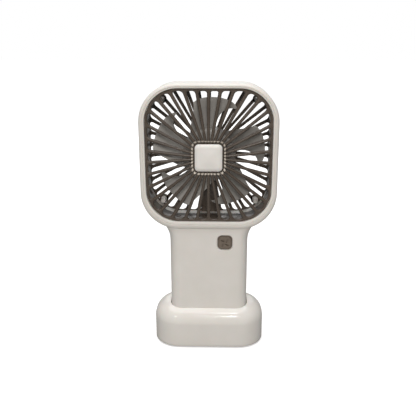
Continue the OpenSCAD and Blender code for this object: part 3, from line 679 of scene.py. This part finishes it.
# Where a rib's edge meets a rounded rectangle, found by stepping the reach to the outline's distance
def ribMeets(angle, hand, halfX, halfZ, corner):
    reach = edgeDistance(np.pi / 2 - angle, halfX, halfZ, corner)
    for attempt in range(8):
        spot = ribEdge(angle, reach, hand)
        edge = edgeDistance(np.arctan2(spot[:, 1], spot[:, 0]), halfX, halfZ, corner)
        reach = np.sqrt(edge ** 2 - (ribWidth(reach) / 2) ** 2)
    return reach


# Places round a slot's outline: share across, share along, and the turn of the corner circle there
def slotTrack(sideSteps=22, cornerSteps=6, outSteps=4, inSteps=2):
    across, along, turn = [], [], []

    def run(a0, a1, l0, l1, t0, t1, steps, keepLast=False):
        share = np.linspace(0, 1, steps + 1)[: steps + 1 if keepLast else steps]
        across.append(a0 + (a1 - a0) * share)
        along.append(l0 + (l1 - l0) * share)
        turn.append(t0 + (t1 - t0) * share)

    run(1, 1, 0, 1, 0, 0, sideSteps)
    run(1, 1, 1, 1, 0, 90, cornerSteps)
    run(1, 0, 1, 1, 90, 90, outSteps)
    run(0, 0, 1, 1, 90, 180, cornerSteps)
    run(0, 0, 1, 0, 180, 180, sideSteps)
    run(0, 0, 0, 0, 180, 270, cornerSteps)
    run(0, 1, 0, 0, 270, 270, inSteps)
    run(1, 1, 0, 0, 270, 360, cornerSteps)
    counts = dict(side=sideSteps, corner=cornerSteps, out=outSteps, inn=inSteps)
    return np.concatenate(across), np.concatenate(along), np.radians(np.concatenate(turn)), counts


# A plate of radial ribs. Each slot's outline is a rounded rectangle in (across, along), widened by
# a share of the rib's half width and laid between its two rib edges; the levels of that outline
# make the slot's wall and the rib's crown, and strips join neighbours, the frame and the hub.
def addGrille(form, outer, hub, crown, yAt, frameRows, hubRows, backRows, backHubRows):
    angles = ribAngles()
    after = np.roll(angles, -1)
    a0, a1 = (ribEdge(angles, ribMeets(angles, 1, *shape), 1) for shape in (hub, outer))
    b0, b1 = (ribEdge(after, ribMeets(after, -1, *shape), -1) for shape in (hub, outer))
    along = (a1 + b1 - a0 - b0) / 2
    length = np.linalg.norm(along, axis=1)
    heading = along / length[:, None]
    skew = lambda gap: np.abs(gap[:, 0] * heading[:, 1] - gap[:, 1] * heading[:, 0])
    wideIn, wideOut = skew(b0 - a0), skew(b1 - a1)
    slant = np.clip(wideOut / np.linalg.norm(b1 - a1, axis=1), 0.6, 1)
    share, run, turn, counts = slotTrack()
    slots, marks = len(angles), len(share)
    radiusIn = np.minimum(0.4 * wideIn, 0.5)[:, None]
    middle = (angles + after) / 2
    cornerShare = np.sin(2 * middle) ** 2
    endRadius = grille["endRadius"] + (grille["cornerEndRadius"] - grille["endRadius"]) * cornerShare
    radiusOut = np.minimum(endRadius, 0.42 * wideOut)[:, None]

    def outline(grow):
        radius = radiusIn + (radiusOut - radiusIn) * run[None]
        inner, widening = grille["ribInnerWidth"], grille["ribOuterWidth"] - grille["ribInnerWidth"]
        ribHalf = (inner + widening * run[None]) / 2
        extra = grow * ribHalf
        rise = np.sin(turn)[None]
        t = radiusIn + run[None] * (length[:, None] - radiusIn - radiusOut)
        t = t + (radius + extra) * rise / np.where(rise > 0, slant[:, None], 1)
        wide = wideIn[:, None] + (wideOut - wideIn)[:, None] * t / length[:, None]
        x = radius + share[None] * (wide - 2 * radius) + (radius + extra) * np.cos(turn)[None]
        s = (x / wide)[..., None]
        k = (t / length[:, None])[..., None]
        left = a0[:, None] + k * (a1 - a0)[:, None]
        right = b0[:, None] + k * (b1 - b0)[:, None]
        return (1 - s) * left + s * right

    levels = []
    for grow, depth in crown:
        flat = outline(grow)
        levels.append(withDepth(flat + [hubX, hubZ], yAt(flat, depth)))
    grid = np.stack(levels)                                  # level, slot, mark, xyz
    ids = form["count"] + np.arange(grid.size // 3).reshape(grid.shape[:3])
    form["points"].append(grid.reshape(-1, 3))
    form["count"] += grid.size // 3
    closed = np.concatenate([ids, ids[:, :, :1]], 2)
    quads = np.stack([closed[:-1, :, :-1], closed[1:, :, :-1], closed[1:, :, 1:], closed[:-1, :, 1:]], -1)
    form["faces"].append(quads.reshape(-1, 4))

    cuts = np.cumsum([counts["side"], counts["corner"], counts["out"], counts["corner"],
                      counts["side"], counts["corner"], counts["inn"], counts["corner"]])
    faces = ((ids[-1], False, frameRows, hubRows), (ids[0], True, backRows, backHubRows))
    for level, flip, rowsOut, rowsIn in faces:
        rightChain = level[:, : cuts[1] + 1]
        leftChain = level[:, cuts[2]: cuts[4] + 1][:, ::-1]
        leftNext = np.roll(leftChain, -1, 0)
        strips = np.stack([rightChain[:, :-1], leftNext[:, :-1], leftNext[:, 1:], rightChain[:, 1:]], -1)
        form["faces"].append(strips.reshape(-1, 4)[:, ::-1 if flip else 1])
        endChain = level[:, cuts[1]: cuts[2] + 1][:, ::-1].reshape(-1)
        innerChain = np.concatenate([level[:, cuts[4]:], level[:, :1]], 1).reshape(-1)
        spots = grid.reshape(-1, 3)
        base = ids[0, 0, 0]
        for chain, rows, turned in ((endChain, rowsOut, flip), (innerChain, rowsIn, not flip)):
            flat = spots[chain - base][:, [0, 2]] - [hubX, hubZ]
            bearing = np.arctan2(flat[:, 1], flat[:, 0])
            last = chain
            # 1 in the middle of a slot's end and 0 beside its ribs
            between = np.sin(np.pi * np.linspace(0, 1, len(chain) // slots)) ** 0.5
            for halfX, halfZ, corner, y, *groove in rows:
                if halfX == 0:
                    ring = np.zeros((len(chain), 2))
                else:
                    reach = edgeDistance(bearing, halfX, halfZ, corner)
                    ring = np.stack([reach * np.cos(bearing), reach * np.sin(bearing)], -1)
                points = withDepth(ring + [hubX, hubZ], y + (groove or [0.0])[0] * np.tile(between, slots))
                fresh = form["count"] + np.arange(len(chain))
                form["points"].append(points)
                form["count"] += len(chain)
                addFaces(form, np.stack([last, fresh]), wrapAcross=True, flip=turned)
                last = fresh
            if rows[-1][0] != 0:
                form.setdefault("open", []).append((last, turned))
    if len(form.get("open", [])) == 2:
        (front, _), (back, _) = form.pop("open")
        addFaces(form, np.stack([front, back]), wrapAcross=True)


def frameRow(inset, y):
    c = casing
    return (c["openingHalfX"] - inset, c["openingHalfZ"] - inset, c["openingCorner"] - inset, y)


def squareRow(half, corner, y, groove=0.0):
    return (half, half, min(corner, half), y, groove)


# Shapes round the hub are (half x, half z, corner); the ribs round down over the bead's reach to the hub
frontGrille = {
    "rise": 2.35, "edgeY": -14.15, "slotInset": 1.7, "hubShape": (9.3, 9.3, 2.9),
    "beadShape": (9.2, 9.2, 2.9), "beadReach": 1.8,
}


# The ribs bow forward by (1 - q^3) x rise, where q is the share of the way to the frame, and dip at the
# hub by reach x (1 - sqrt(1 - (1 - p)^2)), where p is the share of the bead's reach that is passed
def makeFrontGrille():
    form, edgeY, rise = newForm(), frontGrille["edgeY"], frontGrille["rise"]
    slotEnd = frameRow(frontGrille["slotInset"], 0)[:3]
    span = frontGrille["beadReach"]

    def bow(flat, depth):
        reach = np.linalg.norm(flat, axis=-1)
        bearing = np.arctan2(flat[..., 1], flat[..., 0])
        q = reach / edgeDistance(bearing, *slotEnd)
        past = reach - edgeDistance(bearing, *frontGrille["beadShape"])
        dip = span * (1 - np.sqrt(1 - (1 - np.clip(past / span, 0, 1)) ** 2))
        return edgeY - rise * (1 - np.clip(q, 0, 1.05) ** 3) + depth + dip

    crown = [(0.2, 1.8), (0.05, 1.72), (0.0, 1.5), (0.0, 1.05), (0.05, 0.76), (0.18, 0.48), (0.38, 0.26),
             (0.6, 0.11), (0.82, 0.03), (0.96, 0.0)]
    frameRows = [frameRow(0.52, edgeY + 0.1), frameRow(0.36, edgeY + 0.16), frameRow(0.24, edgeY + 0.32),
                 frameRow(0.2, edgeY + 0.6), frameRow(0.2, frameSeat)]
    # a thin skirt lines the duct behind the frame
    backRows = [frameRow(1.66, -10.9), frameRow(1.62, -1.2), frameRow(1.5, -1.0), frameRow(1.2, -1.0),
                frameRow(1.08, -1.2), frameRow(1.08, frameSeat)]
    # the ribs end in a bead each around the cap, with a groove between them that fades out
    hubRows = [squareRow(9.15, 2.7, -15.3, 0.7), squareRow(8.9, 2.5, -15.0, 0.6), squareRow(8.65, 2.3, -15.0),
               squareRow(8.6, 2.2, -15.0), (0, 0, 0, -15.0)]
    backHubRows = [squareRow(9.0, 2.6, -13.4), squareRow(8.0, 2.4, -13.2), (0, 0, 0, -13.2)]
    addGrille(form, slotEnd, frontGrille["hubShape"], crown, bow, frameRows, hubRows, backRows, backHubRows)
    piece = makeObject("front_grille_moulding", form, 38)
    return finishPiece(piece, "fan", frontGrilleAbs, ["front_grille"])


rearGrille = {"slotInset": 0.85, "disc": 16.0, "screwHeadRadius": 1.8}


# A flat plate of the same ribs round a disc, with the motor leads' duct down to the frame
def makeRearGrille():
    form, disc, headRadius = newForm(), rearGrille["disc"], rearGrille["screwHeadRadius"]
    backY = rearSeat + grille["thickness"]
    slotEnd = frameRow(rearGrille["slotInset"], 0)[:3]

    def flatPlate(flat, depth):
        return backY - depth

    crown = [(0.2, 1.8), (0.05, 1.74), (0.0, 1.55), (0.0, 1.0), (0.03, 0.55), (0.12, 0.3), (0.25, 0.13),
             (0.38, 0.04), (0.5, 0.0)]
    frameRows = [frameRow(0.5, backY - 0.03), frameRow(0.28, backY - 0.15),
                 frameRow(0.2, backY - 0.4), frameRow(0.2, rearSeat + 0.02)]
    backRows = [frameRow(0.6, rearSeat + 0.02)]
    hubRows = [(14.9, 14.9, 14.9, backY), (14.5, 14.5, 14.5, backY - 0.28), (14.1, 14.1, 14.1, backY - 0.3),
               (0, 0, 0, backY - 0.3)]
    backHubRows = [(0, 0, 0, rearSeat)]
    addGrille(form, slotEnd, (disc, disc, disc), crown, flatPlate, frameRows, hubRows, backRows, backHubRows)
    addStrut(form)
    screwX = grilleScrewHigh[0] - headRadius
    screwZ = (grilleScrewHigh[2] - grilleScrewLow[2]) / 2 - headRadius
    for sx in (-1, 1):
        for sz in (-1, 1):
            x, z = sx * screwX, hubZ + sz * screwZ
            addLathe(form, [(0, rearSeat), (3.0, rearSeat), (3.05, rearSeat + 0.3), (3.05, backY - 0.35),
                            (2.75, backY - 0.05), (2.2, backY + 0.02), (0, backY + 0.02)], (x, 0, z))
    piece = makeObject("rear_grille_moulding", form, 38)
    return finishPiece(piece, "fan", grilleAbs, ["rear_grille"])


# The motor leads' duct: a box section with soft edges, carried straight down from the disc to the frame
def addStrut(form):
    backY = rearSeat + grille["thickness"]
    outer, front = 5.5, rearGrilleLow[1]
    half = [(0, front), (outer - 1.1, front), (outer - 0.6, front + 0.08), (outer - 0.2, front + 0.3),
            (outer, front + 0.8), (outer, backY - 0.2), (outer - 0.4, backY + 0.12),
            (outer - 0.9, backY + 0.18), (0, backY + 0.2)]
    right = np.array(half)
    section = np.concatenate([right, right[1:-1][::-1] * [-1, 1]])
    heights = np.linspace(casing["openingHalfZ"] - 0.5, 13.4, 10)
    rows = [np.column_stack([section, np.full(len(section), hubZ - drop)]) for drop in heights]
    ids = addGrid(form, np.stack(rows), wrapAcross=True)
    for row, flip in ((ids[0], False), (ids[-1], True)):
        centre = form["count"]
        spot = np.concatenate(form["points"])[row].mean(0)
        form["points"].append(spot[None])
        form["count"] += 1
        fan = np.stack([row, np.roll(row, -1)])
        addFaces(form, np.stack([fan[0], np.full(len(row), centre)]), wrapAcross=True, flip=flip)


makeFrontGrille()
makeRearGrille()
print("grilles made")


# ---- centre cap ----
cap = {"back": -15.6, "shoulder": 2.9, "corner": 2.4, "power": 2.4, "dome": 0.5}


# A soft square cushion: at inset d the shoulder has risen by rise x (1 - (1 - d / shoulder)^power), and
# the middle is a dome x share^2 behind the front
def makeCentreCap():
    form, half = newForm(), (capHigh[0] - capLow[0]) / 2
    front, back, shoulder, dome = capLow[1], cap["back"], cap["shoulder"], cap["dome"]
    insets = shoulder * (1 - np.cos(np.radians(np.linspace(0, 90, 14))))
    rows = [(0.25, back), (0.0, back - 0.2), (0.0, back - 0.5)]
    rise = (back - 0.5) - (front + dome)
    rows += [(d, back - 0.5 - rise * (1 - (1 - d / shoulder) ** cap["power"])) for d in insets[1:]]
    anchors, normals = roundedPath(half, half, cap["corner"], cornerSteps=12, sideSteps=10)
    edge = anchors + cap["corner"] * normals
    grid = [withDepth(edge * 0, back)]
    grid += [withDepth(edge * (1 - inset / half), y) for inset, y in rows]
    grid += [withDepth(edge * (1 - shoulder / half) * share, front + dome * share ** 2)
             for share in np.linspace(0.85, 0, 8)]
    addGrid(form, np.stack(grid) + [hubX, 0, hubZ], wrapAcross=True)
    finishPiece(makeObject("square_cap", form, 50), "fan", capAbs, ["centre_cap"])


makeCentreCap()
print("centre cap made")


# ---- impeller ----
impeller = {
    "blades": 5, "hubRadius": 16.7, "tipRadius": 35.6, "frontY": -9.5, "depth": 12.0,
    "thickness": 1.5, "bow": 1.6, "startAngles": (-46, 30), "endAngles": (15, -12.6, 31.4),
}


# A blade's skins at share t outwards and s across. The angle runs from a + b (1 - (1 - t)^2) to
# c + d t + e t^2 degrees, the place along the axis from front to rear plus bow x sin(pi s), and the
# skins part by the thickness x swell, which falls to nothing at the blade's edges
def bladeSkin(t, s, side):
    i = impeller
    root = i["hubRadius"] - 1.0
    radius = root + t * (i["tipRadius"] - root)
    start = i["startAngles"][0] + i["startAngles"][1] * (1 - (1 - t) ** 2)
    end = i["endAngles"][0] + i["endAngles"][1] * t + i["endAngles"][2] * t ** 2
    angle = np.radians(start + s * (end - start))
    # the outer corners are rounded by drawing the tip in, more at the leading end
    radius = radius - t ** 6 * (1.5 * np.clip(1 - 2 * s, 0, 1) ** 5 + 3.4 * np.clip(2 * s - 1, 0, 1) ** 4)
    swell = np.sqrt(np.clip(1 - np.abs(2 * s - 1) ** 4, 0, 1)) * (0.8 + 0.35 * (1 - t))
    swell = swell * np.sqrt(np.clip(1 - t ** 24, 0, 1))
    y = i["frontY"] + i["depth"] * s + i["bow"] * np.sin(np.pi * s) + side * i["thickness"] / 2 * swell
    return np.stack([radius * np.sin(angle), y, radius * np.cos(angle)], -1)


def makeImpeller():
    i, form = impeller, newForm()
    hub = i["hubRadius"]
    turn = np.radians(np.linspace(0, 90, 8))
    profile = [(0, -8.7), (2.6, -8.7), (3.0, -8.9), (hub - 3.4, -9.0)]
    profile += [(hub - 2 + 2 * math.sin(t), -7 - 2 * math.cos(t)) for t in turn]
    profile += [(hub, 0.0), (hub, 4.3), (hub - 0.3, 4.6), (15.15, 4.6), (15.15, -7.1), (3.2, -7.1),
                (3.2, -4.6), (1.0, -4.6), (1.0, -7.9), (0, -7.9)]
    addLathe(form, profile, (0, 0, 0), steps=96)
    across = (1 - np.cos(np.linspace(0, np.pi, 29))) / 2
    out = 1 - (1 - np.linspace(0, 1, 22)) ** 1.4
    t, s = np.meshgrid(out, across, indexing="ij")
    front, rear = bladeSkin(t, s, -1), bladeSkin(t, s, 1)
    for blade in range(i["blades"]):
        turnBy = 2 * np.pi * blade / i["blades"]
        c, d = math.cos(turnBy), math.sin(turnBy)
        spin = np.array([[c, 0, -d], [0, 1, 0], [d, 0, c]])
        a = addGrid(form, front @ spin)
        b = addGrid(form, rear @ spin, flip=True)
        addFaces(form, np.stack([a[:, 0], b[:, 0]]), flip=True)
        addFaces(form, np.stack([a[:, -1], b[:, -1]]))
        addFaces(form, np.stack([a[0], b[0]]))
        addFaces(form, np.stack([a[-1], b[-1]]), flip=True)
    form["points"] = [points + [hubX, 0, hubZ] for points in form["points"]]
    finishPiece(makeObject("five_blade_impeller", form, 40), "rotor", bladePp, ["impeller"])


makeImpeller()
print("impeller made")


# ---- power button ----
button = {
    "halfX": 4.45, "halfZ": 4.55, "corner": 2.65, "flange": -9.6, "flangeFront": -10.4, "bevelDrop": 1.2,
    "petalReach": 1.95, "petalLean": 24, "petalHalf": (1.4, 0.5), "petalDepths": (0.7, 1.1),
}


# The face is a height map: a bevel at the edge, a shallow dish, a raised line inside the bevel
# and four engraved petals, each an ellipse turned a little past its own direction
def makePowerButton():
    form, b = newForm(), button
    centreX, centreZ = (buttonLow[0] + buttonHigh[0]) / 2, (buttonLow[2] + buttonHigh[2]) / 2
    corner, front, flange = b["corner"], buttonLow[1], b["flange"]
    anchors, normals = roundedPath(b["halfX"], b["halfZ"], corner, cornerSteps=24, sideSteps=24)
    edge = anchors + corner * normals
    shares = np.concatenate([np.linspace(0, 0.82, 52), np.linspace(0.83, 1, 22)])
    face = np.stack([withDepth(edge * share, 0) for share in shares])
    x, z = face[..., 0], face[..., 2]
    fromEdge = (1 - shares)[:, None] * np.linalg.norm(edge, axis=1)[None]
    depth = b["bevelDrop"] * (1 - smoothStep(fromEdge, 0.4, 0.7))
    depth = depth - 0.06 * np.exp(-((fromEdge - 1.0) / 0.16) ** 2)
    depth = depth + 0.06 * smoothStep(fromEdge, 1.0, 3.5)
    for petal in range(4):
        bearing = math.radians(45 + 90 * petal)
        lean = bearing + math.radians(b["petalLean"])
        px, pz = x - b["petalReach"] * math.cos(bearing), z - b["petalReach"] * math.sin(bearing)
        p, q = px * math.cos(lean) + pz * math.sin(lean), -px * math.sin(lean) + pz * math.cos(lean)
        inside = 1 - (p / b["petalHalf"][0]) ** 2 - (q / b["petalHalf"][1]) ** 2
        depth = depth + b["petalDepths"][petal % 2] * smoothStep(inside, -0.05, 0.3)
    face[..., 1] = front + 0.02 + depth
    rim = face[-1]
    skirt = [rim * [1, 0, 1] + [0, y, 0] for y in (front + 1.4, -10.42)]
    wide = anchors + (corner + 0.7) * normals
    flangeRows = [withDepth(wide, b["flangeFront"]), withDepth(wide, flange), withDepth(edge * 0.4, flange)]
    stem = [withDepth(edge / np.linalg.norm(edge, axis=1)[:, None] * 1.6, y) for y in (flange, -5.8)]
    grid = np.concatenate([face, np.stack(skirt + flangeRows + stem), stem[-1][None] * [0, 1, 0]])
    addGrid(form, grid + [centreX, 0, centreZ], wrapAcross=True)
    finishPiece(makeObject("petal_button", form, 45), "button", buttonAbs, ["power_button"])


makePowerButton()
print("button made")


# ---- dock ----
dock = {
    "corner": 17.5, "edge": 12.0, "wall": 2.0, "gap": 0.35, "rimEdge": 0.5, "socketFloor": 8.8,
    "socketWall": 1.6,
}


# Height of the dock's top at inset d from its outline: a quarter circle of the edge radius, then flat
def dockTopAt(inset):
    edge, high = dock["edge"], dockHigh[2]
    return high - edge + np.sqrt(np.maximum(edge ** 2 - (edge - np.minimum(inset, edge)) ** 2, 0))


def makeDockShell():
    c, d, form = casing, dock, newForm()
    steps = dict(cornerSteps=26, sideSteps=14)
    outerA, outerN = roundedPath(dockHigh[0], dockHigh[1], d["corner"], **steps)
    socketHalf = [c[size] + d["gap"] for size in ("handleHalfWidth", "handleHalfDepth", "handleCorner")]
    socketA, socketN = roundedPath(*socketHalf, **steps)

    def outerAt(inset):
        return outerA + (d["corner"] - inset) * outerN

    def socketAt(grow):
        return socketA + (socketHalf[2] + grow) * socketN

    def level(flat, z):
        return np.column_stack([flat, np.broadcast_to(z, len(flat))])

    low = dockLow[2]
    ring = socketAt(d["rimEdge"])
    foot = [(1.2, plateHigh[2] + 0.05), (1.2, low + 0.15), (1.05, low), (0.5, low), (0.15, low + 0.12),
            (0, low + 0.5)]
    rows = [level(outerAt(inset), z) for inset, z in foot]
    rows += [level(outerAt(0), z) for z in np.linspace(3, dockHigh[2] - d["edge"], 6)]
    for t in np.radians(np.linspace(4, 90, 22)):
        share = 1 - math.cos(t)
        flat = outerAt(0) + share * (ring - outerAt(0))
        rows.append(level(flat, dockTopAt(insetOf(flat))))
    rimZ = dockTopAt(insetOf(ring))
    for t in np.radians((22, 45, 68, 90)):
        grow = d["rimEdge"] * (1 - math.sin(t))
        rows.append(level(socketAt(grow), rimZ - d["rimEdge"] * (1 - math.cos(t))))
    rows += [level(socketAt(0), rimZ * (1 - k) + (d["socketFloor"] + 0.6) * k) for k in (0.35, 0.7, 1.0)]
    rows += [level(socketAt(-0.2), d["socketFloor"] + 0.15), level(socketAt(-0.7), d["socketFloor"])]
    rows += [level(socketAt(-0.7) * 0, d["socketFloor"])]
    cup, under = socketAt(d["socketWall"]), d["socketFloor"] - d["socketWall"]
    roof, wall = dockHigh[2] - d["edge"] - 1, outerAt(d["wall"])
    inside = [level(cup * 0, under), level(cup, under), level(cup, roof), level(wall, roof),
              level(wall, plateHigh[2] + 0.05)]
    addGrid(form, np.stack(inside + rows), wrapAcross=True)
    finishPiece(makeObject("dock_cover", form, 40), "dock", dockAbs, ["dock_shell"])


# How far a point lies inside the dock's outline
def insetOf(flat):
    corner = dock["corner"]
    dx = np.abs(flat[:, 0]) - (dockHigh[0] - corner)
    dy = np.abs(flat[:, 1]) - (dockHigh[1] - corner)
    outside = np.hypot(np.maximum(dx, 0), np.maximum(dy, 0))
    return corner - (outside + np.minimum(np.maximum(dx, dy), 0))


def makeDockFeet():
    form, radius = newForm(), 4.0
    footX, footY = feetHigh[0] - radius, feetHigh[1] - radius
    profile = [(0, 0.25), (2.2, 0.22), (2.6, 0.0), (3.6, 0.0), (3.88, 0.1), (radius, 0.35), (radius, 1.2),
               (0, 1.2)]
    for sx in (-1, 1):
        for sy in (-1, 1):
            addLathe(form, profile, (sx * footX, sy * footY, 0), "Z", 40)
    finishPiece(makeObject("ring_feet", form, 40), "dock", footRubber, ["dock_feet"])


makeDockShell()
makeDockFeet()
print("dock made")


# ---- finishes of the pieces that keep their CAD shape ----
finishes = {
    "dock_base_plate": casingAbs, "dock_weight": stampedSteel, "dock_screws": zincSteel,
    "casing_screws": zincSteel, "rear_grille_screws": zincSteel, "motor_screws": zincSteel,
    "board_screws": zincSteel, "motor_base": nylon, "stator_core": lamination, "stator_coils": copperWire,
    "motor_board": solder, "main_board": solder, "front_bearing": bronze, "rear_bearing": bronze,
    "motor_leads": motorLeadCover, "battery_leads": cellLeadCover, "battery_cell": cellSleeve,
    "battery_tabs": stampedSteel, "battery_pads": foam, "board_components": blackPlastic,
    "power_switch": blackPlastic, "switch_plunger": blackPlastic, "usb_shell": stampedSteel,
    "usb_tongue": blackPlastic, "rotor_yoke": stampedSteel, "magnet_ring": ferrite,
    "motor_shaft": zincSteel, "shaft_clip": stampedSteel,
}
for node, material in finishes.items():
    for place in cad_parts[node].material_slots:
        place.material = material
print("finishes given to", len(finishes), "CAD nodes")
